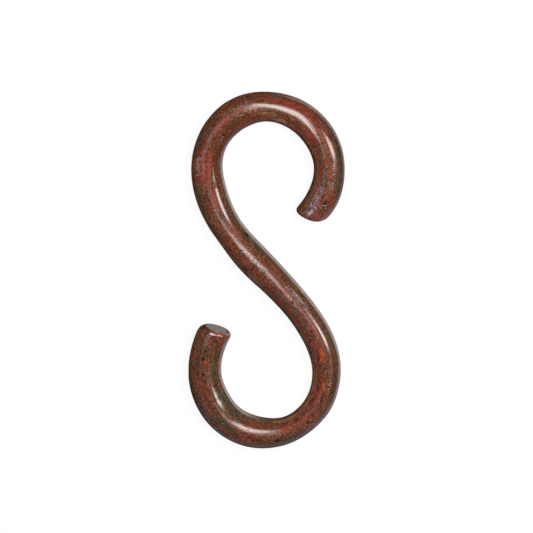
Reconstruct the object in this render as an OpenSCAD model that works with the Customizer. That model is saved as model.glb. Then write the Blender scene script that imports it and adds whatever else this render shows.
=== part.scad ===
// S hook, forged from one length of round steel bar.
//
// The bar's centre line lies in a plane. It starts at the upper end, runs
// over the upper hook, down the slanting shank and round the lower hook,
// which curls the other way. Its curvature changes evenly from one named
// bend to the next, as in a bar that is bent hot round a horn. The hook lies
// flat on Z = 0 with the upper hook toward +Y, and its origin is the middle
// of its footprint. Lengths are in millimetres, angles in degrees.

/* [Bar] */
// Diameter of the round bar before it is forged
bar_d = 9.5; // [8.5:0.1:11]
// Width at the thin place, drawn out in the lower bend
neck_w = 7.75; // [7:0.1:9.5]
// Distance of the thin place from the upper end, along the bar
neck_at = 168; // [161:0.5:172]
// Width at the thick place near the lower end
heel_w = 10.65; // [9.5:0.1:11.5]
// Distance of the thick place from the upper end, along the bar
heel_at = 201; // [197:0.5:207]
// Share of each thick or thin place that also shows in the bar's height
height_share = 0.35; // [0:0.05:1]

/* [Upper hook] */
// Bend radius at the upper end
mouth_r = 19.5; // [17.5:0.1:23]
// Bend radius where the mouth passes into the crown
crown_r = 19.2; // [18:0.1:22]
// Length of bar from the upper end to the crown bend
mouth_run = 33; // [23:0.5:37]
// Bend radius at the shoulder, the tightest place of the upper hook
shoulder_r = 16.7; // [15.5:0.1:20]
// Length of bar from the crown bend to the shoulder
crown_run = 30; // [22:0.5:34]

/* [Shank] */
// Angle of the shank at its straight point, in degrees down from +X
shank_angle = 46.2; // [38:0.1:55]
// Bend radius where the upper hook opens into the shank
shank_top_r = 34; // [28:0.5:60]
// Length of bar over which the shoulder opens into the shank
shank_top_run = 20; // [14:0.5:24]
// Length of bar from there to the straight point, where the bend reverses
straight_run = 32; // [26:0.5:44]
// Bend radius where the shank passes into the lower hook
shank_foot_r = 21.8; // [19:0.1:28]
// Length of bar from the straight point to that bend
shank_foot_run = 36; // [28:0.5:42]

/* [Lower hook] */
// Bend radius at the belly, the tightest place of the lower hook
belly_r = 16.6; // [15.4:0.1:20]
// Length of bar over which the shank tightens into the belly
belly_run = 24; // [16:0.5:28]
// Bend radius at the lower end
tail_r = 27.5; // [21:0.5:45]
// Length of bar from the belly to the lower end
tail_run = 48.4; // [40:0.1:54]

/* [Ends] */
// Slant of the upper end's cut in degrees, which leaves the inner side longer
upper_cut = 25; // [0:1:30]
// Rounding of the upper end's rim
upper_rim = 2.6; // [0.4:0.1:3]
// Slant of the lower end's cut in degrees, which leaves the inner side longer
lower_cut = 15; // [0:1:25]
// Rounding of the lower end's rim
lower_rim = 1.5; // [0.4:0.1:3]

/* [Surface] */
// Sides of the polygon that stands for the bar's round section
bar_sides = 32; // [16:4:36]
// Distance between rings along the bar
ring_pitch = 1.6; // [1.5:0.1:4]

/* [Hidden] */

// Places of the bends, measured along the bar from the upper end
crown_at = mouth_run;
shoulder_at = crown_at + crown_run;
shank_top_at = shoulder_at + shank_top_run;
straight_at = shank_top_at + straight_run;
shank_foot_at = straight_at + shank_foot_run;
belly_at = shank_foot_at + belly_run;
bar_length = belly_at + tail_run;

// Curvature, left-handed in the upper hook and right-handed in the lower one
bends = [
    [0, 1 / mouth_r],
    [crown_at, 1 / crown_r],
    [shoulder_at, 1 / shoulder_r],
    [shank_top_at, 1 / shank_top_r],
    [straight_at, 0],
    [shank_foot_at, -1 / shank_foot_r],
    [belly_at, -1 / belly_r],
    [bar_length, -1 / tail_r],
];

// What the hammer left, stretch by stretch: [share of the way along the
// stretch, what the width gains there as a share of bar_d]
marks_above_neck = [
    [0, -0.095], [0.042, 0.027], [0.095, -0.047], [0.125, -0.026],
    [0.155, 0.021], [0.208, -0.005], [0.262, -0.095], [0.292, -0.053],
    [0.321, 0.016], [0.381, -0.053], [0.423, -0.037], [0.476, 0.037],
    [0.518, 0.011], [0.548, -0.032], [0.577, -0.042], [0.631, 0.063],
    [0.661, 0.042], [0.696, -0.011], [0.75, -0.074], [0.786, -0.047],
    [0.827, -0.042], [0.887, -0.084], [0.94, -0.116],
];
marks_at_belly = [[0.212, -0.116], [0.424, 0.047], [0.667, 0.068], [0.788, 0.1]];
marks_below_heel = [[0.405, 0.042], [0.946, 0.042]];
function laid_out(marks, from, to) =
    [for (m = marks) [from + m[0] * (to - from), m[1] * bar_d]];
hammer_marks = concat(
    laid_out(marks_above_neck, 0, neck_at),
    [[neck_at, neck_w - bar_d]],
    laid_out(marks_at_belly, neck_at, heel_at),
    [[heel_at, heel_w - bar_d]],
    laid_out(marks_below_heel, heel_at, bar_length)
);
mark_ease = 4;   // half the length over which each mark is smoothed
cut_fade = 10;   // length of bar over which a slanted cut dies away
rim_steps = 3;   // rings that round off each rim

function degrees(radians) = radians * 180 / PI;
function curvature(s) = lookup(s, bends);

// How far the bar turns from bend i to the next, and on to the shank
function bend_turn(i) =
    degrees((bends[i + 1][0] - bends[i][0]) * (bends[i][1] + bends[i + 1][1]) / 2);
upper_turn = bend_turn(0) + bend_turn(1) + bend_turn(2) + bend_turn(3);

function mark(s) =
    [for (i = [-2 : 2]) lookup(s + i * mark_ease / 2, hammer_marks)]
    * [1, 1, 1, 1, 1] / 5;
function width(s) = bar_d + mark(s);
function height(s) = bar_d + height_share * mark(s);

// A ring is [distance along the bar, how far it is drawn in from the skin]
function rim_ring(turn, rim) = [rim * (1 - cos(turn)), rim * (1 - sin(turn))];
upper_rings = [
    for (i = [0 : rim_steps - 1]) rim_ring(90 * i / rim_steps, upper_rim)
];
lower_rings = [
    for (i = [rim_steps - 1 : -1 : 0])
        let (ring = rim_ring(90 * i / rim_steps, lower_rim))
        [bar_length - ring[0], ring[1]]
];
long_run = bar_length - upper_rim - lower_rim;
long_steps = ceil(long_run / ring_pitch);
long_rings = [
    for (i = [0 : long_steps]) [upper_rim + long_run * i / long_steps, 0]
];
rings = concat(upper_rings, long_rings, lower_rings);
ring_count = len(rings);

// The centre line at each ring as [x, y, direction], stepped along the bar
function advance(p, from, run) =
    let (
        half_way = p[2] + degrees(curvature(from + run / 4) * run / 2),
        at_end = p[2] + degrees(curvature(from + run / 2) * run)
    )
    [p[0] + run * cos(half_way), p[1] + run * sin(half_way), at_end];
spine = [
    for (
        i = 0, p = [0, 0, -shank_angle - upper_turn];
        i < ring_count;
        p = i < ring_count - 1
            ? advance(p, rings[i][0], rings[i + 1][0] - rings[i][0])
            : p,
        i = i + 1
    ) p
];

// How far a ring leans along the bar for each millimetre to its left
function fade(s) = s < cut_fade ? (1 + cos(180 * s / cut_fade)) / 2 : 0;
function lean(s) =
    -tan(upper_cut) * fade(s) - tan(lower_cut) * fade(bar_length - s);

lift = max([for (ring = rings) height(ring[0]) / 2]);

// A point of ring i, given by its place to the left of the centre line and
// its height above it
function skin_point(i, left, up) =
    let (
        along = [cos(spine[i][2]), sin(spine[i][2])],
        across = [-along[1], along[0]],
        flat = [spine[i][0], spine[i][1]]
            + left * (across + lean(rings[i][0]) * along)
    )
    [flat[0], flat[1], lift + up];
skin = [
    for (i = [0 : ring_count - 1], side = [0 : bar_sides - 1])
        let (
            turn = 360 * side / bar_sides,
            half_w = width(rings[i][0]) / 2 - rings[i][1],
            half_h = height(rings[i][0]) / 2 - rings[i][1]
        )
        skin_point(i, half_w * cos(turn), half_h * sin(turn))
];
points = concat(
    skin,
    [skin_point(0, 0, 0), skin_point(ring_count - 1, 0, 0)]
);
upper_centre = len(skin);
lower_centre = len(skin) + 1;
last_ring = (ring_count - 1) * bar_sides;

function next_side(side) = (side + 1) % bar_sides;
faces = concat(
    [
        for (i = [0 : ring_count - 2], side = [0 : bar_sides - 1])
            let (
                a = i * bar_sides + side,
                b = i * bar_sides + next_side(side)
            )
            each [[a, b + bar_sides, b], [a, a + bar_sides, b + bar_sides]]
    ],
    [for (side = [0 : bar_sides - 1]) [side, next_side(side), upper_centre]],
    [
        for (side = [0 : bar_sides - 1])
            [last_ring + next_side(side), last_ring + side, lower_centre]
    ]
);

// Middle of the footprint, which becomes the origin
function middle(values) = (min(values) + max(values)) / 2;
footprint_x = middle([for (p = points) p[0]]);
footprint_y = middle([for (p = points) p[1]]);

module s_hook() {
    color([0.44, 0.24, 0.17])
        translate([-footprint_x, -footprint_y, 0])
            polyhedron(points = points, faces = faces);
}

s_hook();
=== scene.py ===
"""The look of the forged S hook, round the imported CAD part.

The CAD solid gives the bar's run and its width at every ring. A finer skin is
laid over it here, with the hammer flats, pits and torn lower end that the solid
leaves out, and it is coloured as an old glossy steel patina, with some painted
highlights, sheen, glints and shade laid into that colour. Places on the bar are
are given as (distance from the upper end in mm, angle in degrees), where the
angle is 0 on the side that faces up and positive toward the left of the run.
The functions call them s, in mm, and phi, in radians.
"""

import math

import bpy
import numpy as np
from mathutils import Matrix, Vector, noise


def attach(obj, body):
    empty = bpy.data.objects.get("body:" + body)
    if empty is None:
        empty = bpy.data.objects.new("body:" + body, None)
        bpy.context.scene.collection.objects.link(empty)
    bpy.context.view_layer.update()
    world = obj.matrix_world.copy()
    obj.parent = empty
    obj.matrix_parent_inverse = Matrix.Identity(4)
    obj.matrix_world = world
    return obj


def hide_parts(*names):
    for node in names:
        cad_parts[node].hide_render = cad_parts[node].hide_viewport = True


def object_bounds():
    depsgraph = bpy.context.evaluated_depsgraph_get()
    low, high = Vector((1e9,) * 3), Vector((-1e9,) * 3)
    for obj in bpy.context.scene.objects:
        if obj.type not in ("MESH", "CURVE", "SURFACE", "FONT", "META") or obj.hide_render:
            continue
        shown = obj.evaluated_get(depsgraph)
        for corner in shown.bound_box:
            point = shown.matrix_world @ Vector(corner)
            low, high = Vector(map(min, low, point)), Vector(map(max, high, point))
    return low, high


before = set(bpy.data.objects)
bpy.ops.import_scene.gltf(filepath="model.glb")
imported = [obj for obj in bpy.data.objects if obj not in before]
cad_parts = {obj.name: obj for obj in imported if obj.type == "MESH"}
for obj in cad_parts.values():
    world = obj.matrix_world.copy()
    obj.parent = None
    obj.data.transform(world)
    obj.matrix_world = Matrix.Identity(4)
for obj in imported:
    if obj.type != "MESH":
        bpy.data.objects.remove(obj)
cad_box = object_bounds()

MM = 0.001

# ---------------------------------------------------------------- the bar

BAR_RADIUS = 4.75  # of the plain bar, which turns its angles into arcs, mm
RING_PITCH = 0.28  # between rings of the skin, mm
SIDES = 112  # of each ring
RIM_STEPS = 9  # rings that round off each rim
CAP_STEPS = 24  # rings that close each end

# Rounding of each end's rim, mm: left of the run, top, right of the run and underside
UPPER_RIM = (2.6, 2.3, 2.8, 2.6)
LOWER_RIM = (1.7, 1.0, 1.7, 0.7)

# How the CAD mesh is read
WELD_STEPS = 1000  # in a mm, by which two points are told apart
MANY = 12  # more neighbours than any point but an end's middle has, fewer than a ring's points
LEVEL = 0.01  # mm, within which a point lies as high as its ring's middle
FULL_SHARE = 0.8  # of the greatest half height, under which a ring is part of a rim
RIM_SLOPE = 0.12  # of the half height along the bar, over which a ring is part of a rim


def welded(mesh):
    """The mesh's points in mm, each only once, and the set of neighbours of each."""
    spots = np.empty(len(mesh.vertices) * 3)
    mesh.vertices.foreach_get("co", spots)
    spots = spots.reshape(-1, 3) / MM
    _, first, name = np.unique(
        np.round(spots * WELD_STEPS).astype(np.int64),
        axis=0,
        return_index=True,
        return_inverse=True,
    )
    name, spots = name.ravel(), spots[first]
    near = [set() for _ in spots]
    for face in mesh.polygons:
        ring = [name[v] for v in face.vertices]
        for a, b in zip(ring, ring[1:] + ring[:1]):
            near[a].add(b)
            near[b].add(a)
    return spots, near


def cad_rings(node):
    """The CAD bar's rings from the upper end down: middle, arm to the left and half height."""
    spots, near = welded(node.data)
    ends = [i for i, others in enumerate(near) if len(others) > MANY]
    layer = {max(ends, key=lambda i: spots[i][1])}
    seen, rings = set(layer), []
    while layer:
        layer = {b for a in layer for b in near[a]} - seen
        seen |= layer
        if len(layer) > MANY:
            rings.append(spots[sorted(layer)])
    middle = np.array([ring.mean(axis=0) for ring in rings])
    along = np.gradient(middle, axis=0)
    left, half_height = [], []
    for ring, centre, step in zip(rings, middle, along):
        arms = ring - centre
        side = arms[:, 1] * step[0] - arms[:, 0] * step[1]
        level = np.abs(arms[:, 2]) < LEVEL
        left.append(arms[np.argmax(np.where(level, side, -np.inf))])
        half_height.append(arms[:, 2].max())
    return middle, np.array(left), np.array(half_height)


def smooth(x, xs, ys):
    """A smooth curve through the points (xs, ys), read at x."""
    slope = np.gradient(ys, xs, axis=0)
    i = np.clip(np.searchsorted(xs, x) - 1, 0, len(xs) - 2)
    span = xs[i + 1] - xs[i]
    t = np.clip((x - xs[i]) / span, 0, 1)
    if ys.ndim > 1:
        t, span = t[:, None], span[:, None]
    return (
        (2 * t**3 - 3 * t**2 + 1) * ys[i]
        + (t**3 - 2 * t**2 + t) * span * slope[i]
        + (3 * t**2 - 2 * t**3) * ys[i + 1]
        + (t**3 - t**2) * span * slope[i + 1]
    )


class Bar:
    """The bar's run and full section at any place, without its rims."""

    def __init__(self, node):
        middle, left, half_height = cad_rings(node)
        steps = np.linalg.norm(np.diff(middle, axis=0), axis=1)
        self.s = np.concatenate([[0], np.cumsum(steps)])
        self.length = self.s[-1]
        self.middle = middle
        full = half_height > FULL_SHARE * half_height.max()
        full &= np.abs(np.gradient(half_height, self.s)) < RIM_SLOPE
        first, last = np.flatnonzero(full)[[0, -1]]
        size = np.linalg.norm(left, axis=1)
        self.left_dir = left / size[:, None]
        keep = slice(first, last + 1)
        self.half_w = np.interp(self.s, self.s[keep], size[keep])
        self.half_h = np.interp(self.s, self.s[keep], half_height[keep])

    def at(self, s):
        """Middle, direction to the left, half width and half height at a distance s."""
        return (
            smooth(s, self.s, self.middle),
            smooth(s, self.s, self.left_dir),
            smooth(s, self.s, self.half_w),
            smooth(s, self.s, self.half_h),
        )


def round_values(phi, values):
    """Values given at the left, top, right and underside, eased round the bar."""
    left, top, right, under = values
    sin, cos = np.sin(phi), np.cos(phi)
    return (
        np.where(sin > 0, left, right) * sin**2
        + np.where(cos > 0, top, under) * cos**2
    )


bar = Bar(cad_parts["s_hook"])

# ---------------------------------------------------------------- what marks the bar

# Where the hammer turned the skin's slope, in tracks along the bar. Each place of a track is
# [s, angle, half angle, share of the roundness taken out, turn in degrees to the right]
TRACKS = [
    [
        (11, 8, 16, 0, 4), (17, 7, 16, 0, 14), (22, 4, 16, 0.1, 19), (25, 2, 15, 0.2, 17),
        (28, -1, 14, 0.3, 14), (30, -2, 14, 0.4, 11), (33, -5, 15, 0.6, 6), (36, -8, 18, 0.68, 1),
        (40, -12, 15, 0.5, 0), (45, -16, 12, 0.1, -2), (48, -23, 11, -0.2, -4),
        (51, -28, 11, -0.3, -5), (57, -30, 12, 0, -4), (64, -30, 12, 0, 0),
    ],
    [(16, -21, 7, -0.5, 2), (23, -21, 7, -0.5, 3), (27, -21, 7, -0.5, 1), (32, -21, 7, -0.5, -3)],
    [
        (78, 0, 13, 0, -8), (86, 1, 13, 0, -10), (90, 2, 14, 0, -11), (93, 4, 13, 0.1, -9.5),
        (96, 6, 13, 0.4, -6.5), (100, 8, 12, 0.45, -4.5), (104, 9, 12, 0.5, -2),
        (108, 9.5, 12, 0.5, 0), (111, 11, 11, 0.5, 2), (114, 10, 11, 0.3, 2), (117, 9, 10, 0.1, 0),
        (120, 7, 10, 0, -3), (128, 6, 12, 0, -6),
    ],
    [
        (168, -29, 12, -0.5, -6), (175, -28, 12, -0.5, -6), (178, -25, 12, -0.4, -8),
        (181, -22, 12, -0.1, -7), (184, -20, 11, 0, -5), (187, -19, 12, 0.35, -4),
        (190, -17, 13, 0.45, -3), (193, -12, 11, 0.4, 4), (196, -9, 12, 0.3, 7),
        (199, -7, 12, 0, 8), (202, -7, 12, -0.1, 7),
    ],
    [(74, 28, 9, -0.3, -1), (84, 30, 9, -0.3, -0.5), (95, 28, 9, -0.3, -2)],
    [
        (191, -25, 9, -0.4, 6), (198, -24, 9, -0.5, 6.5), (204, -23, 9, -0.5, 6.5),
        (211, -20, 9, -0.5, 6.5),
    ],
]
TRACK_FADE = 3  # length over which a track rises at its ends, mm
TRACK_REACH = 70  # half angle over which a turned slope dies away round the bar
BELL_RISE = 1.2  # makes tanh rise as the area under a bell curve does
HALF_BELL = 0.886  # half the area under a bell curve of half width 1

# Random unevenness of the whole skin: [height in mm, pitch in mm, octaves]
SWELL = (0.018, 5, 2)
SWELL_STRETCH = (0.5, 1, 1)  # draws the swell out along the bar
RIPPLE = (0.008, 1.6, 2)
TOOTH = (0.010, 0.6, 1)
TOOTH_SHIFT = 50  # takes the tooth from another place of the noise than the ripple, mm
PLAIN_TOOTH = 0.4  # share of the tooth where the bar is neither matte nor specked

# What the hammer drove out or in on the bar's sides: [s, mm on the left, mm on the right]
SIDE_BLOWS = [
    (0, 0, 0), (14, 0, 0.04), (20, -0.12, 0.08), (28, 0, -0.07), (36, 0, -0.04), (42, 0, 0.03),
    (48, -0.1, 0.06), (54, 0, 0), (61, 0.15, -0.08), (68, 0.04, -0.05), (73, -0.04, -0.04),
    (82, 0.1, -0.11), (91, 0.03, 0.02), (98, 0, -0.09), (106, 0.1, -0.03), (111, 0.13, -0.09),
    (116, 0.15, -0.18), (122, 0.1, -0.1), (128, 0, 0.02), (134, -0.08, 0.08), (140, 0, 0),
    (146, 0.08, -0.08), (154, 0, -0.05), (159, 0.07, -0.08), (166, -0.08, 0.06), (172, 0, -0.03),
    (180, -0.07, 0.11), (184, 0, 0.03), (190, 0.13, -0.14), (200, -0.02, 0.03), (208, 0.09, -0.1),
    (216, -0.03, 0.02), (223, 0, 0),
]

# Scratches and creases: [s and angle of one end, of the other end, half width mm, depth mm]
CREASES = [
    (28.6, -10, 33.2, -21, 0.10, 0.015),
    (212.4, 9, 215.8, 13, 0.22, 0.03),
    (185.3, -22, 185.8, -13, 0.15, 0.05),
    (110.6, 2, 111.2, 16, 0.12, 0.03),
]

# Pits: [s, angle, radius mm, depth mm]
PITS = [
    (7, -11, 0.45, 0.40),
    (62.2, 20, 0.50, 0.25),
    (99, 55, 0.60, 0.20),
    (106.5, -41, 0.50, 0.15),
    (123.8, 4, 0.45, 0.05),
    (154, -32, 0.35, 0.15),
    (176, 15, 0.50, 0.15),
    (205.5, -38, 0.50, 0.12),
    (213, 33, 0.30, 0.10),
    (209.6, 6, 0.38, 0.06),
    (214.4, 11, 0.45, 0.08),
    (216.8, 9, 0.38, 0.08),
    (149, 3, 0.25, 0.15),
]

# What shows where, kind by kind: [s, angle, half length, half angle, strength]. Most kinds are
# colours, some of them partly painted shade or sheen where marked. The painted sheen and
# painted glint kinds are painted highlights. Calm patches have fainter grains, matte ones less
# gloss, specked ones pale points that are partly painted glints.
PATCHES = {
    "olive": [
        (12.5, 12, 1.6, 8, 0.9),
        (18, -42, 9, 13, 0.9),
        (36, -52, 8, 10, 0.35),
        (207, -43, 5, 8, 0.5),
        (13, -24, 4, 8, 0.6),
        (178, 20, 12, 12, 0.5),
        (160, 30, 9, 12, 0.4),
        (196, -62, 5, 10, 1.0),
        (88, 54, 8, 8, 0.6),
        (130, 48, 10, 10, 0.4),
        (153, 50, 9, 12, 0.7),
        (41, 36, 6, 16, 0.6),
        (49, 38, 2.5, 10, 0.5),
        (43, -62, 3, 8, 0.8),
        (86, -40, 10, 18, 0.7),
        (97, -38, 4, 12, 0.4),
        (96, 48, 14, 14, 0.55),
        (107, 58, 10, 9, 0.8),
        (106, 30, 6, 10, 0.35),
        (134, -44, 5, 9, 0.8),
        (130, 55, 10, 10, 0.5),
        (149, 6, 2, 7, 0.8),
        (178, 45, 10, 16, 0.7),
        (193, 8, 4, 18, 1.0),
        (194, -44, 9, 18, 0.8),
        (207, -34, 9, 18, 0.7),
        (206, 56, 5, 14, 0.9),
        (217, -26, 7, 18, 0.5),
        (178, -70, 12, 14, 0.8),
    ],
    "mauve": [
        (125, -8, 16, 12, 0.9),
        (118, -27, 12, 12, 0.6),
        (134, 42, 12, 16, 0.7),
        (152, 46, 9, 12, 0.5),
        (172, 32, 10, 24, 0.8),
        (172, -3, 10, 9, 0.5),
        (197, 26, 8, 24, 0.9),
        (166, 40, 9, 18, 0.7),
        (176, 52, 9, 10, 0.6),
        (178, -40, 10, 12, 0.4),
        (38, -45, 6, 10, 0.4),
        (129, 9, 5, 8, 0.8),
        (142, -36, 5, 10, 0.6),
        (207, -8, 6, 10, 0.7),
        (103, -46, 9, 10, 0.9),
        (56, -26, 5, 10, 0.5),
        (94, -30, 7, 9, 0.4),
    ],
    "umber": [
        (68, 42, 12, 22, 1.0),
        (66, 26, 9, 12, 0.8),
        (62, 12, 7, 10, 0.7),
        (73, 12, 8, 10, 0.7),
        (92, 18, 6, 8, 0.6),
        (86, 46, 12, 14, 0.8),
        (30, 56, 9, 12, 0.6),
        (60, 20, 5, 10, 0.5),
    ],
    "brown": [
        (12, 46, 13, 28, 1.0),
        # Painted sheen: the pink tail of the crown's highlight
        (55, -33, 6, 10, 0.9),
        (100, -46, 8, 12, 0.7),
        (104, 38, 12, 12, 0.5),
        (78, 24, 10, 14, 0.5),
        (154, 22, 12, 26, 0.9),
        (160, -48, 14, 22, 0.6),
        (212, 50, 12, 22, 0.8),
        (60, -66, 12, 12, 0.6),
        (96, -14, 10, 8, 0.5),
        (44, 20, 10, 20, 0.6),
        (186, -46, 12, 14, 0.6),
    ],
    # Dark spots and pits of the patina; the patches low on the sides, near 50 to 60 degrees, and
    # those beside the highlights are painted shade
    "dark": [
        (29, -17, 5, 8, 0.5),
        (28, -60, 10, 10, 0.45),
        (40, 54, 6, 8, 0.3),
        (14, -58, 15, 14, 0.7),
        (70, 9, 9, 8, 0.3),
        (136, 10, 9, 8, 0.35),
        (142, 22, 5, 10, 0.4),
        (174, 52, 9, 10, 0.3),
        (175, -12, 8, 10, 0.3),
        (67, 55, 8, 10, 0.5),
        (64, 14, 5, 9, 0.3),
        (148, 36, 5, 20, 0.4),
        (50, 38, 2.5, 9, 0.5),
        (68, -42, 4, 14, 0.5),
        (50, -52, 5, 10, 0.5),
        (80, -50, 6, 12, 0.3),
        (106.5, -41, 1.5, 6, 1.0),
        (126, -50, 10, 10, 0.6),
        (123.8, 4, 1.4, 6, 0.9),
        (99, 56, 2, 8, 0.9),
        (140, -46, 3, 8, 0.8),
        (154, 30, 5, 12, 0.6),
        (154, -32, 1.4, 5, 0.9),
        (176, 16, 1.6, 8, 0.9),
        (200, 60, 9, 14, 0.6),
        (62.2, 20, 1.2, 5, 0.9),
        (7, -11, 1.4, 6, 0.9),
        (209.6, 7, 0.5, 4, 1.0),
        (214.3, 11, 0.7, 5, 1.0),
        (216.6, 9, 0.5, 5, 1.0),
        (118, -30, 8, 14, 0.35),
    ],
    "red": [
        # (28, 34), (18, 20) and (54, -20) are partly painted sheen, the pink glow round the crown's
        # highlight; the rest are red patina
        (28, 34, 7, 14, 0.35),
        (18, 20, 9, 12, 0.35),
        (31, -50, 6, 8, 0.5),
        (2, 6, 2, 34, 0.7),
        (54, -20, 6, 9, 0.6),
        (153, -50, 9, 13, 0.7),
        (161, -22, 10, 12, 0.45),
        (70, 12, 8, 12, 0.5),
        (220, 14, 3, 9, 0.7),
        (73, -30, 5, 20, 0.8),
        (10, 30, 6, 12, 0.5),
        (10, -28, 4, 16, 0.6),
        (27, -17, 8, 9, 0.9),
        (38, -25, 6, 6, 0.7),
        (74, 8, 6, 10, 0.7),
        (30, 20, 5, 18, 0.7),
        (42, -42, 7, 14, 0.9),
        (60, -12, 4, 9, 1.0),
        (74, -14, 5, 14, 0.7),
        (110, -12, 9, 9, 0.7),
        (134.5, 6, 3, 8, 1.0),
        (142, -6, 5, 16, 1.0),
        (156, -30, 10, 26, 0.4),
        (170, -36, 8, 22, 0.4),
        (199, 18, 3, 12, 0.4),
        (184, -52, 4, 9, 0.6),
        (213, -54, 9, 8, 0.3),
        (214, 42, 7, 16, 0.5),
        (184, 20, 5, 14, 0.4),
    ],
    "orange": [
        (152, -58, 12, 10, 0.6),
        (222.9, -14, 0.45, 26, 1.0),
        (13.5, 0, 1.0, 4, 0.9),
        (63, 14, 6, 14, 0.45),
        (98, -16, 1.6, 8, 0.6),
        (77, 18, 5, 9, 0.35),
        (141.5, -4, 2.0, 7, 1.0),
        (144, -14, 1.6, 6, 0.9),
        (152.5, -10, 1.2, 9, 1.0),
        (213.5, 1, 0.9, 6, 1.0),
        (198.5, 19, 1.3, 6, 0.7),
        (11, -20, 2, 8, 0.4),
    ],
    "tan": [
        (40.5, 36, 2.5, 12, 1.0),
        (37.8, 13, 1.0, 4, 1.0),
        (45, 18, 3, 12, 0.9),
        (48, 8, 2, 7, 0.5),
        (64.2, 25, 1.0, 4, 1.0),
        (74, -8, 3, 4, 1.0),
        (88, -22, 3, 8, 0.5),
        (53.5, 0, 1.6, 5, 0.6),
        (147, 18, 4, 12, 0.6),
        # This patch and the five after it, low on the right of the run, are painted sheen; the
        # others are tan streaks of the patina
        (156, -64, 13, 10, 0.7),
        (172, -68, 9, 10, 0.7),
        (134, -62, 8, 8, 0.7),
        (148, -62, 6, 8, 0.8),
        (98, -62, 12, 8, 0.6),
        (101, -48, 7, 7, 0.35),
        (217, 24, 5, 8, 0.3),
        (216, -24, 6, 8, 0.5),
        (208, -16, 6, 7, 0.4),
    ],
    # Painted highlights and sheen: pale spots, streaks and specks of light laid into the colour
    "painted_sheen": [
        (3.0, 14, 1.3, 6, 0.8),
        (7, 30, 6, 13, 0.42),
        (55, -32, 5, 6, 0.25),
        (12.5, -14, 1.6, 4, 0.4),
        (16.5, -17, 1.8, 4, 0.4),
        (19, -20, 1.5, 4, 0.4),
        (220, 22, 2, 6, 0.2),
        (194, 54, 7, 12, 0.3),
        (18, 17, 7, 10, 0.25),
        (95, 5, 5, 7, 0.2),
        (107, -2, 10, 5, 0.2),
        (122.5, 37, 2.8, 2.4, 0.8),
        (126.3, 34.5, 2.4, 2.4, 0.8),
        (72, -36, 1.2, 5, 0.6),
    ],
    # Painted glints: near-white highlights laid into the colour of the lower end's lip
    "painted_glint": [
        (222.7, 12, 0.42, 10, 1.0),
        (222.85, -13, 0.3, 4, 1.0),
    ],
    "calm": [
        (30, 34, 24, 34, 0.85),
        (22, 6, 9, 9, 0.8),
        (17.5, 20, 4, 9, 0.95),
        (38, -34, 17, 20, 0.9),
        (62, 40, 12, 20, 0.8),
        (116, -28, 16, 20, 0.9),
        (140, 40, 12, 14, 0.5),
        (90, -48, 14, 12, 0.6),
        (16, -48, 12, 16, 0.6),
        (176, 40, 12, 16, 0.4),
        (218, 22, 5, 12, 0.8),
        (88, 10, 8, 10, 0.8),
    ],
    "matte": [
        (127, 12, 5, 13, 0.8),
        (162, -18, 9, 7, 0.6),
        (173, 54, 12, 12, 0.9),
        (17.6, -23, 3.1, 10, 1.0),
        (29, -18, 3.4, 9, 1.0),
        (16, 4, 4, 8, 0.3),
        (73, -38, 5, 18, 0.4),
        (94.8, 26, 2.8, 10, 1.0),
        (143.4, 24, 3, 10, 1.0),
        (151, 18, 3, 14, 0.35),
        (173.2, -22, 6.3, 15, 1.0),
        (195.4, -24, 1.9, 7, 1.0),
        (207.5, -23, 3, 8, 1.0),
        (203, -9, 3.5, 6, 0.8),
        (14, -66, 14, 18, 0.85),
        (30, -72, 8, 14, 0.6),
        (48, 50, 9, 11, 0.85),
        (64, 47, 13, 12, 1.0),
        (222.5, -75, 1.5, 25, 0.8),
    ],
    # Pale specks where the rough coat breaks up a highlight, partly painted glints; they also
    # roughen the skin
    "specks_and_glints": [
        (14.5, -18, 5, 7, 0.6),
        (5, 10, 4, 18, 0.7),
        (73, -38, 5, 22, 1.0),
        (52, -10, 3, 18, 0.4),
        (108, 7, 12, 11, 0.9),
        (124, 30, 6, 18, 0.6),
        (151.5, 18, 2.5, 14, 0.9),
        (166, 12, 4, 14, 0.7),
        (199, -4, 4, 8, 0.5),
        (212, 10, 5, 12, 0.4),
    ],
}


def patch(kind, s, phi):
    """How strongly a kind of patch shows at each place, from 0 to 1."""
    total = np.zeros_like(s)
    for at, angle, run, turn, strength in PATCHES[kind]:
        gone = ((s - at) / run) ** 2 + ((np.degrees(phi) - angle) / turn) ** 2
        total += strength * np.exp(-gone)
    return np.clip(total, 0, 1)


def fuzz(places, height, pitch, octaves):
    """Smooth random relief of about that height up and down, and of that pitch, in mm."""
    fall_off, finer = 1.0, 2.0
    found = [
        noise.fractal(Vector(p) / pitch, fall_off, finer, octaves) for p in places.tolist()
    ]
    return height * np.array(found)


def creases(s, phi):
    """Depth of the scratches and creases, in mm, and how strongly they show."""
    depth, shown = np.zeros_like(s), np.zeros_like(s)
    arc = BAR_RADIUS * phi
    for s0, angle0, s1, angle1, half, deep in CREASES:
        arc0, arc1 = BAR_RADIUS * math.radians(angle0), BAR_RADIUS * math.radians(angle1)
        run, climb = s1 - s0, arc1 - arc0
        share = ((s - s0) * run + (arc - arc0) * climb) / (run**2 + climb**2)
        share = np.clip(share, 0, 1)
        far = np.hypot(s - s0 - share * run, arc - arc0 - share * climb)
        line = np.exp(-((far / half) ** 2))
        depth = np.maximum(depth, deep * line)
        shown = np.maximum(shown, line)
    return depth, shown


def pits(s, phi):
    """Depth of the pits, in mm, and how strongly they show."""
    depth, shown = np.zeros_like(s), np.zeros_like(s)
    for at, angle, radius, deep in PITS:
        far = np.hypot(s - at, BAR_RADIUS * (phi - math.radians(angle))) / radius
        hole = np.exp(-(far**4))
        depth += deep * hole
        shown = np.maximum(shown, hole)
    return depth, shown


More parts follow.
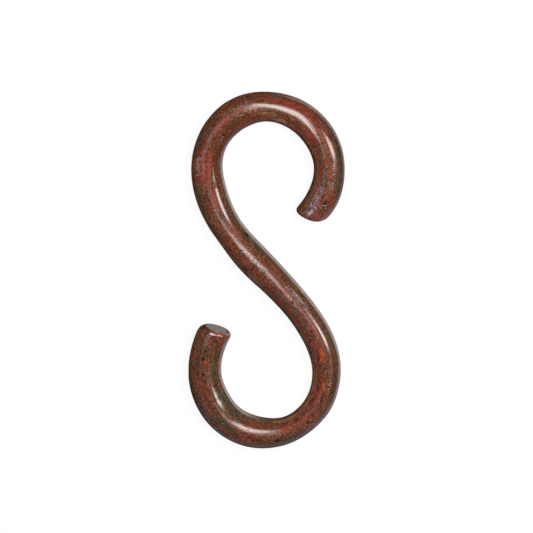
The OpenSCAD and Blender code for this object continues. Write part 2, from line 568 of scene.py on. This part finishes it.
def hammered(s, phi):
    """Height that the tracks and the blows on the sides add, in mm."""
    height = np.zeros_like(s)
    for track in TRACKS:
        knots = np.array(track, float)
        angle, half, flat, turn = smooth(s, knots[:, 0], knots[:, 1:]).T
        off = np.degrees(phi) - angle
        half_arc = np.radians(half)
        step = np.radians(turn) * half_arc * HALF_BELL * np.tanh(BELL_RISE * off / half)
        hollow = flat * half_arc**2 / 2 * np.exp(-((off / half) ** 2))
        within = np.minimum(s - knots[0, 0], knots[-1, 0] - s) / TRACK_FADE
        within = np.clip(within, 0, 1)
        shown = within**2 * (3 - 2 * within)
        height += BAR_RADIUS * shown * (step * np.exp(-((off / TRACK_REACH) ** 2)) - hollow)
    blows = np.array(SIDE_BLOWS, float)
    left, right = smooth(s, blows[:, 0], blows[:, 1:]).T
    return height + np.where(phi > 0, left, right) * np.sin(phi) ** 2


def relief(s, phi, place):
    """Height of the skin over the plain bar, in mm."""
    rough = PLAIN_TOOTH + patch("specks_and_glints", s, phi) + patch("matte", s, phi)
    uneven = fuzz(place * SWELL_STRETCH, *SWELL) + fuzz(place, *RIPPLE)
    uneven += rough * fuzz(place + TOOTH_SHIFT, *TOOTH)
    return uneven + hammered(s, phi) - pits(s, phi)[0] - creases(s, phi)[0]


# ---------------------------------------------------------------- the skin

# Where the sawn lower end has torn open behind its lip: [angle, half angle, how far]
TEARS = [(50, 36, 1.0), (0, 40, 0.5)]

# The sawn face, in shares of its radius
CREVICE_FROM = 0.90  # where the crevice opens
CREVICE_WIDEN = 0.08  # how much nearer the middle it opens where it is torn furthest
CREVICE_EDGE = 0.03  # over which its inner edge falls
BARE_TO = 0.985  # where the bare metal ends
BARE_EDGE = 0.02  # over which the patina sets in

# Depths of the sawn face, mm
CREVICE_DEPTH = 0.15
FACE_DEPTH = 0.03
SAW_MARKS = (0.05, 1.2, 2)  # height, pitch and octaves
FACE_SPREAD = 9  # radius at which the face reads its marks, which makes them finer, mm

DIRECTION_RINGS = 5  # of the CAD bar, over which the lower end's direction is read

# The skin's map
MAP_STRIPS = 3  # of the bar, side by side
MAP_GAP = 1  # between strips, mm
MAP_MARGIN = 0.5  # round the whole map, mm
MAP_END = 5  # from the strips to the middle of an end, mm
MAP_END_PITCH = 11  # side of the square that an end takes up, mm


def torn(phi):
    """How far the sawn lower end has torn open behind its lip, from 0 to 1."""
    degrees = np.degrees(phi)
    tears = [far * np.exp(-(((degrees - angle) / half) ** 4)) for angle, half, far in TEARS]
    return np.maximum.reduce(tears)


def end_face(share, phi):
    """The sawn lower end at a share of its radius: how deep it lies in mm, how much of it
    is bare, and how strongly the painted shade of its crevice shows."""
    opened = torn(phi)
    past = share - CREVICE_FROM + CREVICE_WIDEN * opened
    crevice = opened * np.clip(past / CREVICE_EDGE, 0, 1)
    across = FACE_SPREAD * share
    place = np.column_stack([across * np.sin(phi), across * np.cos(phi), 0 * share])
    depth = CREVICE_DEPTH * crevice + fuzz(place, *SAW_MARKS) + FACE_DEPTH
    bare = np.clip((BARE_TO - share) / BARE_EDGE, 0, 1)
    return depth, bare, crevice


def cap(rim, rim_place, first, edge, flip, axis=None):
    """Points, places, marks and faces that close an end inside its last ring, the edge. New
    points are counted from first, and flip turns the faces over. An end with an axis, which
    points out of the bar, is sawn."""
    centre = rim.mean(axis=0)
    phi = np.arctan2(rim_place[:, 1], rim_place[:, 2])
    points, places, marks, faces = [], [], [], []
    for step in range(1, CAP_STEPS + 1):
        share = 1 - step / CAP_STEPS
        spots = centre + (rim - centre) * share
        mark = np.zeros((len(rim), 2))
        if axis is not None:
            depth, mark[:, 0], mark[:, 1] = end_face(np.full(len(rim), share), phi)
            spots = spots - axis * depth[:, None]
        if step == CAP_STEPS:
            spots, mark = spots[:1], mark[:1]
        points.append(spots)
        places.append((rim_place * (1, share, share))[: len(spots)])
        marks.append(mark)
        inner = np.arange(first, first + len(spots))
        first += len(spots)
        if step < CAP_STEPS:
            ring = np.stack([edge, np.roll(edge, -1), np.roll(inner, -1), inner], -1)
        else:
            ring = np.stack([edge, np.roll(edge, -1), np.full(len(edge), inner[0])], -1)
        faces += (ring[:, ::-1] if flip else ring).tolist()
        edge = inner
    return points, places, marks, faces


def ring_rows(upper, lower):
    """How far along the bar each ring of the skin lies, and how far it is drawn in, in mm."""
    turns = np.linspace(0, math.pi / 2, RIM_STEPS + 1)[:-1]
    steps = round(bar.length / RING_PITCH)
    s_rows, inset_rows = [], []
    for turn in turns:
        s_rows.append(upper * (1 - math.cos(turn)))
        inset_rows.append(upper * (1 - math.sin(turn)))
    for step in range(steps + 1):
        s_rows.append(upper + (bar.length - upper - lower) * step / steps)
        inset_rows.append(0 * upper)
    for turn in turns[::-1]:
        s_rows.append(bar.length - lower * (1 - math.cos(turn)))
        inset_rows.append(lower * (1 - math.sin(turn)))
    return np.array(s_rows), np.array(inset_rows)


def skin_points(s, phi, inset):
    """Points of the skin in mm, and the place of each along and round the plain bar."""
    middle, left, half_w, half_h = bar.at(s)
    sin, cos = np.sin(phi)[:, None], np.cos(phi)[:, None]
    outward = left * sin + np.array([0, 0, 1]) * cos
    place = np.column_stack([s, BAR_RADIUS * sin, BAR_RADIUS * cos])
    lift = relief(s, phi, place) - inset
    spots = middle + left * sin * half_w[:, None]
    spots[:, 2] += cos[:, 0] * half_h
    return spots + outward * lift[:, None], place


def lip_crevice(s, phi, drawn_in):
    """How strongly the crevice's painted shade shows where it runs over the lower end's rim, from
    its share of rounding.
    """
    from_share, edge = 0.60, 0.15
    over = np.where(s > bar.length / 2, drawn_in, 0)
    return torn(phi) * np.clip((over - from_share) / edge, 0, 1)


def lay_out(mesh, points, places, rings):
    """A map of the skin: the bar in strips side by side, split underneath, and its ends."""
    girth = 2 * math.pi * BAR_RADIUS
    pitch = girth + MAP_GAP
    along = np.diff(points[: rings * SIDES].reshape(rings, SIDES, 3), axis=0)
    run = np.append(0, np.cumsum(np.linalg.norm(along, axis=2).mean(axis=1)))
    strip_run = run[-1] / MAP_STRIPS
    row, side = (part.reshape(-1, 1) for part in np.mgrid[: rings - 1, :SIDES])
    strip = run[row] // strip_run
    # A face's corners run from its first ring to the next one, one side on, and back
    u = strip * pitch + girth * (1 - (side + [0, 0, 1, 1]) / SIDES)
    v = run[row + [0, 1, 1, 0]] - strip * strip_run

    corners = np.empty(len(mesh.loops), dtype=np.int32)
    mesh.loops.foreach_get("vertex_index", corners)
    s, left, up = places[corners[u.size :]].T
    is_upper = s < bar.length / 2
    end_u = MAP_STRIPS * pitch + MAP_END + np.where(is_upper, -left, left)
    end_v = np.where(is_upper, MAP_END, MAP_END + MAP_END_PITCH) + up
    spots = np.column_stack([np.append(u, end_u), np.append(v, end_v)])
    size = MAP_STRIPS * pitch + MAP_END_PITCH
    layer = mesh.uv_layers.new(name="OFBake")
    layer.uv.foreach_set("vector", ((spots + MAP_MARGIN) / size).ravel())


def keep_places(mesh, places, marks):
    """Keeps for the material each point's place on the bar and what shows there."""
    kept = mesh.attributes.new("bar_place", "FLOAT_VECTOR", "POINT")
    kept.data.foreach_set("vector", places.ravel())
    s, phi = places[:, 0], np.arctan2(places[:, 1], places[:, 2])
    values = {kind: patch(kind, s, phi) for kind in PATCHES}
    values |= {"pits": pits(s, phi)[1], "creases": creases(s, phi)[1]}
    values |= {"bare": marks[:, 0], "crevice": marks[:, 1]}
    for kind, value in values.items():
        kept = mesh.attributes.new(kind, "FLOAT", "POINT")
        kept.data.foreach_set("value", value)


def build_skin(name):
    """The skin: rings along the bar and over its rims, and the caps of its two ends."""
    phi = np.linspace(-math.pi, math.pi, SIDES, endpoint=False)
    lower = round_values(phi, LOWER_RIM)
    s, inset = ring_rows(round_values(phi, UPPER_RIM), lower)
    rings = len(s)
    drawn_in = (inset / lower).ravel()
    s, phi = s.ravel(), np.tile(phi, rings)
    spots, place = skin_points(s, phi, inset.ravel())
    mark = np.column_stack([0 * s, lip_crevice(s, phi, drawn_in)])

    grid = np.arange(rings * SIDES).reshape(rings, SIDES)
    after = np.roll(grid, -1, axis=1)
    faces = np.stack([grid[:-1], grid[1:], after[1:], after[:-1]], -1).reshape(-1, 4)
    faces = faces.tolist()
    points, places, marks = [spots], [place], [mark]
    down = bar.middle[-1] - bar.middle[-1 - DIRECTION_RINGS]
    down /= np.linalg.norm(down)
    for row, axis in ((0, None), (rings - 1, down)):
        edge = grid[row]
        count = sum(len(part) for part in points)
        closing = cap(spots[edge], place[edge], count, edge, row > 0, axis)
        for kept, more in zip((points, places, marks, faces), closing):
            kept.extend(more)
    points, places, marks = (np.concatenate(part) for part in (points, places, marks))

    # Nothing reaches past the solid's box
    low, high = np.array(cad_box[0]), np.array(cad_box[1])
    mesh = bpy.data.meshes.new(name)
    mesh.from_pydata(np.clip(points * MM, low, high).tolist(), [], faces)
    mesh.shade_smooth()
    lay_out(mesh, points, places, rings)
    keep_places(mesh, places, marks)
    piece = bpy.data.objects.new(name, mesh)
    bpy.context.collection.objects.link(piece)
    return piece


# ---------------------------------------------------------------- materials


class Tree:
    """A tree of shader nodes, added by short calls that hand back their output."""

    def __init__(self, owner):
        owner.use_nodes = True
        self.owner = owner
        self.nodes, self.links = owner.node_tree.nodes, owner.node_tree.links
        self.nodes.clear()

    def add(self, kind, inputs=None, **settings):
        """A new node with these inputs and settings."""
        node = self.nodes.new("ShaderNode" + kind)
        for name, value in settings.items():
            setattr(node, name, value)
        for name, value in (inputs or {}).items():
            self.feed(node.inputs[name], value)
        return node

    def feed(self, socket, value):
        """A socket takes another node's output or a plain value."""
        if isinstance(value, bpy.types.NodeSocket):
            self.links.new(value, socket)
        else:
            socket.default_value = value

    def attribute(self, name, output="Fac"):
        return self.add("Attribute", attribute_name=name).outputs[output]

    def math(self, operation, a, b=0.0):
        return self.add("Math", {0: a, 1: b}, operation=operation).outputs[0]

    def times(self, a, b):
        return self.math("MULTIPLY", a, b)

    def line(self, value, gain, start):
        """The value times a gain, on top of a start."""
        return self.math("ADD", self.times(value, gain), start)

    def less(self, value, share):
        """What is left of 1 when that share of the value is taken off."""
        return self.math("SUBTRACT", 1.0, self.times(value, share))

    def blend(self, a, b, share):
        """The share of b with the rest of a, for plain numbers."""
        return self.math("ADD", self.times(a, 1 - share), self.times(b, share))

    def noise(self, vector, scale, detail, stretch, rough, shift):
        """Random shades with the given number of features in a millimetre."""
        moved = self.add(
            "Mapping",
            {"Vector": vector, "Scale": stretch, "Location": (shift, shift, shift)},
        ).outputs[0]
        made = self.add(
            "TexNoise",
            {"Vector": moved, "Scale": scale, "Detail": detail, "Roughness": rough},
        )
        return made.outputs["Fac"]

    def ramp(self, value, low, high, top=1.0):
        """0 below low, the top value above high, and eased between."""
        made = self.add(
            "MapRange",
            {"Value": value, "From Min": low, "From Max": high, "To Max": top},
            interpolation_type="SMOOTHSTEP",
        )
        return made.outputs[0]

    def mix(self, factor, a, b):
        """From colour a at 0 to colour b at 1."""
        node = self.add("Mix", {0: factor}, data_type="RGBA")
        for socket, value in ((node.inputs[6], a), (node.inputs[7], b)):
            self.feed(socket, (*value, 1) if isinstance(value, tuple) else value)
        return node.outputs[2]

    def finish(self, shader, kind="OutputMaterial"):
        """Ends the tree in this shader and hands back what the tree belongs to."""
        out = self.add(kind)
        self.links.new(shader.outputs[0], out.inputs["Surface"])
        return self.owner


# Random shades over the bar: [features in a mm, detail, how much finer along the bar, to its
# left and upward, roughness, shift]
SHADES = {
    "broad": (0.25, 2, (0.6, 1, 1), 0.55, 0),
    "mottle": (0.8, 3, (0.7, 1, 1), 0.6, 11),
    "grain": (2.0, 3, (0.8, 1, 1), 0.7, 23),
    "fine": (3.6, 2, (0.9, 1, 1), 0.7, 31),
    "streak": (1.5, 3, (0.16, 1, 1), 0.55, 37),
    "fleck": (1.6, 4, (0.8, 1, 1), 0.7, 53),
    "cloud": (0.5, 3, (0.6, 1, 1), 0.6, 91),
    "cuts": (2.2, 2, (1, 0.25, 1), 0.6, 67),
}

# Mottles of the whole bar over its deep brown: [colour, two shades, share of the second, where
# their blend starts to show and is full, how strong it is then]
MOTTLES = [
    ((0.33, 0.075, 0.033), "mottle", "grain", 0.5, 0.38, 0.62, 1.0),
    ((0.120, 0.066, 0.016), "broad", "fleck", 0.5, 0.46, 0.60, 0.65),
    ((0.37, 0.064, 0.031), "cloud", "fleck", 0.3, 0.52, 0.64, 0.6),
]

# Patches over the mottles: [kind, colour, two shades whose blend frays it, share of the second, how
# far the patch lifts the blend, softness of the edge]
COVERS = [
    ("brown", (0.27, 0.092, 0.032), "mottle", "fleck", 0.6, 0.24, 0.10),
    ("mauve", (0.165, 0.080, 0.066), "mottle", "fleck", 0.6, 0.24, 0.12),
    ("umber", (0.140, 0.038, 0.009), "mottle", "fleck", 0.6, 0.26, 0.12),
    ("red", (0.34, 0.060, 0.036), "mottle", "fleck", 0.5, 0.30, 0.08),
    ("olive", (0.105, 0.068, 0.024), "broad", "fleck", 0.5, 0.30, 0.08),
    ("olive", (0.078, 0.056, 0.018), "cloud", "grain", 0.5, 0.22, 0.08),
    ("dark", (0.045, 0.020, 0.012), "mottle", "grain", 0.5, 0.34, 0.08),
    ("orange", (0.60, 0.115, 0.030), "grain", "fleck", 0.6, 0.28, 0.08),
    ("tan", (0.42, 0.205, 0.090), "streak", "fleck", 0.4, 0.28, 0.08),
]
# Pale specks, partly painted glints, and painted highlights and sheen over the grains and flecks,
# laid out the same
BLOOMS = [
    ("specks_and_glints", (0.56, 0.34, 0.32), "grain", "fine", 0.5, 0.16, 0.04),
    ("painted_sheen", (0.50, 0.46, 0.56), "grain", "fine", 0.5, 0.34, 0.14),
]
COVER_FROM = 0.68  # where a lifted blend shows by half

# Pale grains, partly painted glints, and dark flecks over the patches, fainter where the patina
# is calm, laid out like the mottles
SPRINKLES = [
    ((0.50, 0.36, 0.28), "grain", "fine", 0.6, 0.50, 0.68, 0.30),
    ((0.030, 0.017, 0.011), "fleck", "fine", 0.6, 0.47, 0.30, 0.80),
]

CALM_TAKES = 0.75  # of the grains and flecks, where the patina is calm
# A crease takes this share of a pit's dark colour, partly dark marks and partly painted shade
CREASE_SHOWS = 0.7  # of a pit's darkness, in a crease
MATTE_TAKES = 0.92  # of the coat, where it is matte
BARE_TAKES = 0.85  # of the coat, where the sawn metal is bare
BUMP_DEPTH = 0.08  # of the finest grain, mm

DEEP_BROWN = (0.085, 0.026, 0.009)
# Colour of the painted glints
PAINTED_GLINT_COLOUR = (0.90, 0.87, 0.93)
PIT_COLOUR = (0.012, 0.007, 0.008)
PAINTED_CREVICE_SHADE = (0.012, 0.009, 0.007)
SAWN_DARK = (0.09, 0.075, 0.066)
SAWN_LIGHT = (0.52, 0.44, 0.36)


def patina_colour(t, shades, lively, pits_and_crease_shade):
    """Red brown, mottled with olive, umber and rust, with fine grains, flecks and scars, and in
    places with painted highlights, sheen, glints and shade.
    """

    def shade(first, second, share):
        return t.blend(shades[first], shades[second], share)

    def mottle(below, strength, colour, first, second, share, low, high, top):
        shown = t.ramp(shade(first, second, share), low, high, top)
        if strength is not None:
            shown = t.times(strength, shown)
        return t.mix(shown, below, colour)

    def cover(below, kind, colour, first, second, share, lift, soft):
        weight = t.math("ADD", t.times(t.attribute(kind), lift), shade(first, second, share))
        return t.mix(t.ramp(weight, COVER_FROM - soft, COVER_FROM + soft), below, colour)

    body = DEEP_BROWN
    for settings in MOTTLES:
        body = mottle(body, None, *settings)
    for settings in COVERS:
        body = cover(body, *settings)
    for settings in SPRINKLES:
        body = mottle(body, lively, *settings)
    for settings in BLOOMS:
        body = cover(body, *settings)
    # Painted glints on the lower end's lip
    body = t.mix(t.ramp(t.attribute("painted_glint"), 0.3, 0.8), body, PAINTED_GLINT_COLOUR)

    # The flecks deepen or grey the colour, and the finest shade darkens or lightens it
    swing = t.times(t.math("ADD", lively, 0.2), 1.9)
    shifted = {
        "Saturation": t.line(shades["fleck"], 1.2, 0.44),
        "Value": t.line(swing, t.math("SUBTRACT", shades["fine"], 0.49), 1.0),
        "Color": body,
    }
    body = t.add("HueSaturation", shifted).outputs[0]
    # Dark pits, and painted shade along the creases
    return t.mix(pits_and_crease_shade, body, PIT_COLOUR)


def patina():
    """Old glossy steel patina under a clear coat, with its painted highlights and shade, and the
    sawn end's bare metal.
    """
    t = Tree(bpy.data.materials.new("patina"))
    place = t.attribute("bar_place", "Vector")
    shades = {name: t.noise(place, *settings) for name, settings in SHADES.items()}
    lively = t.less(t.attribute("calm"), CALM_TAKES)
    # Pits keep their dark oxide colour; creases take part of it, partly as painted shade
    crease_shade = t.times(t.attribute("creases"), CREASE_SHOWS)
    pits_and_crease_shade = t.math("MAXIMUM", t.attribute("pits"), crease_shade)
    bare = t.attribute("bare")
    body = patina_colour(t, shades, lively, pits_and_crease_shade)
    marks = t.ramp(t.blend(shades["cuts"], shades["fine"], 0.4), 0.36, 0.62)
    body = t.mix(bare, body, t.mix(marks, SAWN_DARK, SAWN_LIGHT))
    # The crevice behind the lower end's lip is painted dark, as shade in it
    body = t.mix(t.attribute("crevice"), body, PAINTED_CREVICE_SHADE)

    rough = t.math("ADD", t.math("ADD", t.attribute("specks_and_glints"), t.attribute("matte")), 0.35)
    height = t.times(t.blend(shades["grain"], shades["fine"], 0.5), rough)
    bump = t.add("Bump", {"Strength": 0.5, "Distance": BUMP_DEPTH * MM, "Height": height})
    gloss = t.less(t.attribute("matte"), MATTE_TAKES)
    gloss = t.times(gloss, t.less(bare, BARE_TAKES))
    gloss = t.times(gloss, t.math("SUBTRACT", 1.0, pits_and_crease_shade))
    shader = t.add(
        "BsdfPrincipled",
        {
            "Base Color": body,
            "Metallic": 0.15,
            "Roughness": t.line(shades["mottle"], 0.3, 0.27),
            "Specular IOR Level": 0.35,
            "Coat Weight": gloss,
            "Coat Roughness": 0.13,
            "Coat IOR": 2.5,
            "Normal": bump.outputs[0],
            "Coat Normal": bump.outputs[0],
        },
    )
    return t.finish(shader)


hook = build_skin("hook_body")
hook.data.materials.append(patina())
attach(hook, "root")
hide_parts("s_hook")

# ---------------------------------------------------------------- studio

centre = (Vector(cad_box[0]) + Vector(cad_box[1])) / 2
hook_reach = centre.y - cad_box[0][1]

FLOOR_REACH = 20  # of the floor, as a multiple of the hook's
LAMP_DISTANCE = 0.55  # m
CAMERA_DISTANCE = 0.8  # m
CAMERA_TILT = 15  # toward the upper hook, degrees
AIM = Vector((0.0002, 0.0021, 0.0001))  # from the hook's middle to what the camera looks at, m

# What the gloss mirrors overhead, by its place in the upward half of the sky seen
# from above: [x, y, half width, half length, turn, brightness, colour]
SOFTBOXES = [
    (0.06, 0.25, 0.34, 0.60, 38, 0.40, (1.0, 0.76, 0.68)),
    (0.11, 0.24, 0.16, 0.37, 38, 3.3, (1.0, 0.97, 0.95)),
    (0.74, 0.05, 0.11, 0.20, 0, 4.0, (1.0, 0.98, 0.96)),
    (-0.48, 0.05, 0.22, 0.30, 0, 0.35, (0.85, 0.88, 1.0)),
]
BOX_EDGE = 1.5  # square of the multiple of its half sizes at which a box has faded out
BRIM_DEPTH = 0.48  # how far under the horizon the paper's brim lies at the back

# The rest of what it mirrors: all round, on the paper and in the sheen
DARK_BELOW = (0.022, 0.016, 0.012)
DARK_ABOVE = (0.034, 0.026, 0.024)
PAPER_BEHIND = (0.72, 0.80, 0.80)
PAPER_BESIDE = (0.52, 0.48, 0.60)
PAPER_IN_FRONT = (0.22, 0.23, 0.34)
SHEEN = (0.11, 0.13, 0.20)


def grey(shade):
    """A plain grey as a colour."""
    return (shade, shade, shade, 1)


def add_floor():
    """White to the camera with the hook's shadow kept faint, and to the hook white paper that also
    glows a little, as added bounce light.
    """
    t = Tree(bpy.data.materials.new("floor_white"))
    paper = t.add("BsdfDiffuse", {"Color": grey(0.8)})
    # Painted light: the paper also glows a little to the hook, as added bounce light
    paper_glow = t.add("Emission", {"Color": (1, 0.96, 0.93, 1), "Strength": 0.3})
    lit = t.add("AddShader", {0: paper.outputs[0], 1: paper_glow.outputs[0]})
    faint = t.add("BsdfDiffuse", {"Color": grey(0.09)})
    glow = t.add("Emission", {"Color": grey(1), "Strength": 0.93})
    seen = t.add("AddShader", {0: glow.outputs[0], 1: faint.outputs[0]})
    is_camera = t.add("LightPath").outputs["Is Camera Ray"]
    both = t.add("MixShader", {0: is_camera, 1: lit.outputs[0], 2: seen.outputs[0]})
    half = FLOOR_REACH * hook_reach
    mesh = bpy.data.meshes.new("floor")
    corners = [(-half, -half, 0), (half, -half, 0), (half, half, 0), (-half, half, 0)]
    mesh.from_pydata(corners, [], [(0, 1, 2, 3)])
    mesh.materials.append(t.finish(both))
    floor = bpy.data.objects.new("floor", mesh)
    floor.visible_glossy = False
    bpy.context.collection.objects.link(floor)


def add_lamp(name, direction, size, radiance):
    """A soft square lamp facing the hook, which lights its colours and isn't mirrored."""
    data = bpy.data.lights.new(name, "AREA")
    data.shape, data.size = "SQUARE", size
    data.energy = math.pi * size**2 * radiance
    lamp = bpy.data.objects.new(name, data)
    toward = Vector(direction).normalized()
    lamp.location = centre + toward * LAMP_DISTANCE
    lamp.rotation_euler = toward.to_track_quat("Z", "Y").to_euler()
    lamp.visible_glossy = False
    bpy.context.collection.objects.link(lamp)


def low_paper(t, shown, x, y, z):
    """Pale paper low down on the right, with a brim that comes up toward the front."""
    front = t.math("MAXIMUM", t.math("SUBTRACT", t.times(y, -1), 0.1), 0.0)
    brim = t.math("SUBTRACT", t.times(front, BRIM_DEPTH), BRIM_DEPTH)
    low = t.ramp(t.math("SUBTRACT", brim, z), -0.05, 0.10)
    right = t.ramp(x, 0.05, 0.60)
    paper = t.mix(t.ramp(y, 0.0, -0.35), PAPER_BEHIND, PAPER_BESIDE)
    paper = t.mix(t.ramp(y, -0.35, -0.9), paper, PAPER_IN_FRONT)
    return t.mix(t.times(low, right), shown, paper)


def front_sheen(t, shown, x, y, z):
    """A dim blue sheen low down in front, which fades toward the left."""
    sheen = t.times(t.ramp(y, -0.45, -0.9), t.ramp(x, -0.65, 0.1))
    return t.mix(t.times(sheen, t.ramp(z, 0.35, 0.05)), shown, SHEEN)


def softbox(t, shown, way, box):
    """One of the soft boxes overhead, brightest in its middle."""
    x, y, z = way
    cx, cy, half_w, half_l, turn, power, colour = box
    cos, sin = math.cos(math.radians(turn)), math.sin(math.radians(turn))
    dx, dy = t.math("SUBTRACT", x, cx), t.math("SUBTRACT", y, cy)
    across = t.math("ADD", t.times(dx, cos), t.times(dy, sin))
    along = t.math("SUBTRACT", t.times(dy, cos), t.times(dx, sin))
    wide = t.math("POWER", t.math("ABSOLUTE", t.math("DIVIDE", across, half_w)), 2.0)
    long = t.math("POWER", t.math("ABSOLUTE", t.math("DIVIDE", along, half_l)), 2.0)
    edge = t.times(t.ramp(t.math("ADD", wide, long), BOX_EDGE, 0.0), t.ramp(z, 0.0, 0.1))
    return t.mix(edge, shown, tuple(power * part for part in colour))


def add_world():
    """Dim for colour, white for the camera, and for gloss the studio round the hook: soft
    boxes overhead, and pale paper low down on the right and in front, dark elsewhere."""
    t = Tree(bpy.data.worlds.new("studio"))
    way = t.add("SeparateXYZ", {0: t.add("TexCoord").outputs["Generated"]}).outputs
    shown = t.mix(t.ramp(way[2], -0.1, 0.6), DARK_BELOW, DARK_ABOVE)
    shown = front_sheen(t, shown, *way)
    shown = low_paper(t, shown, *way)
    for box in SOFTBOXES:
        shown = softbox(t, shown, way, box)
    dim = t.add("Background", {"Color": grey(1), "Strength": 0.12})
    white = t.add("Background", {"Color": grey(1), "Strength": 1.0})
    mirrored = t.add("Background", {"Color": shown, "Strength": 1.0})
    path = t.add("LightPath").outputs
    rest = t.add(
        "MixShader",
        {0: path["Is Glossy Ray"], 1: dim.outputs[0], 2: mirrored.outputs[0]},
    )
    both = t.add(
        "MixShader",
        {0: path["Is Camera Ray"], 1: rest.outputs[0], 2: white.outputs[0]},
    )
    bpy.context.scene.world = t.finish(both, "OutputWorld")


def add_camera():
    """A view nearly straight down, tipped toward the upper hook."""
    tilt = math.radians(CAMERA_TILT)
    data = bpy.data.cameras.new("camera")
    data.lens, data.sensor_width = 180, 36
    data.clip_start, data.clip_end = 0.05, 20
    camera = bpy.data.objects.new("camera", data)
    back = Vector((0, math.sin(tilt), math.cos(tilt)))
    camera.location = centre + AIM + CAMERA_DISTANCE * back
    camera.rotation_euler = (-tilt, 0, 0)
    bpy.context.collection.objects.link(camera)
    bpy.context.scene.camera = camera


add_floor()
add_lamp("key", direction=(0.28, 0.30, 0.91), size=0.25, radiance=11.8)
add_lamp("fill", direction=(-0.1, 0.0, 1.0), size=0.9, radiance=0.3)
add_world()
add_camera()
bpy.context.scene.view_settings.view_transform = "Standard"
